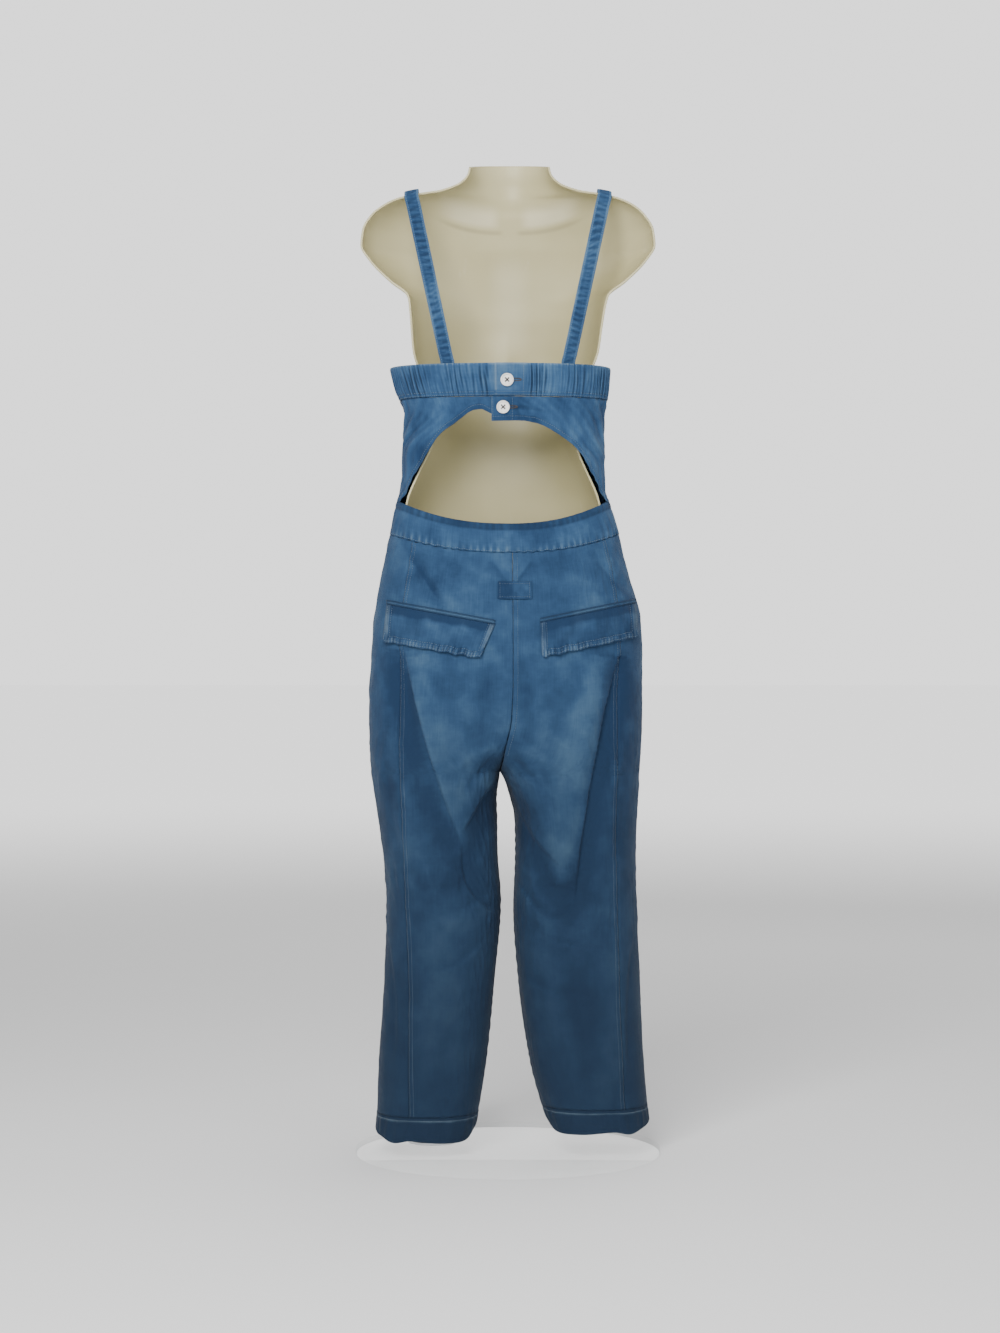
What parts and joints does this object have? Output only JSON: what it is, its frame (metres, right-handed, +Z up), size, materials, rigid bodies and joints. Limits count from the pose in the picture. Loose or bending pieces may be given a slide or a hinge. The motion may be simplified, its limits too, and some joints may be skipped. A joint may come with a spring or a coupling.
{
  "type": "denim jumpsuit on a hollow-back torso dress form",
  "caption": "Sleeveless denim jumpsuit with an open back, shoulder straps, buttoned elastic band and straight legs, on a limbless hollow-back torso dress form",
  "frame": {"origin": "on the floor, under the middle of the stand's round base and of the whole part", "axes": "+Z up, the jumpsuit's back faces -Y and its front +Y, +X is the wearer's right, the right of the picture"},
  "size_m": [0.42, 0.42, 1.3704],
  "materials": {
    "denim": "mid-blue washed denim twill",
    "denim_trim": "lighter washed denim of the straps, gathered band and welts",
    "button": "white polished",
    "form_plastic": "beige satin moulded plastic",
    "steel": "satin",
    "glass": "clear tempered, polished edge"
  },
  "bodies": {
    "root": {"leg_back_left": "denim", "leg_back_right": "denim", "leg_side_left": "denim", "leg_side_right": "denim", "leg_front_left": "denim", "leg_front_right": "denim", "hem_left": "denim", "hem_right": "denim", "waistband_back": "denim", "waistband_front": "denim", "bodice_front": "denim", "back_panel_left": "denim", "back_panel_right": "denim", "back_tab": "denim", "pocket_flap_left": "denim", "pocket_flap_right": "denim", "band_front": "denim", "back_band_left": "denim_trim", "back_band_right": "denim_trim", "strap_left": "denim_trim", "strap_right": "denim_trim", "pocket_welt_left": "denim_trim", "pocket_welt_right": "denim_trim", "button_band": "button", "button_panel": "button", "form_lower": "form_plastic", "form_middle": "form_plastic", "form_upper": "form_plastic", "form_plate": "form_plastic", "stand_pole": "steel", "stand_socket": "steel", "stand_base": "glass"}
  },
  "joints": []
}
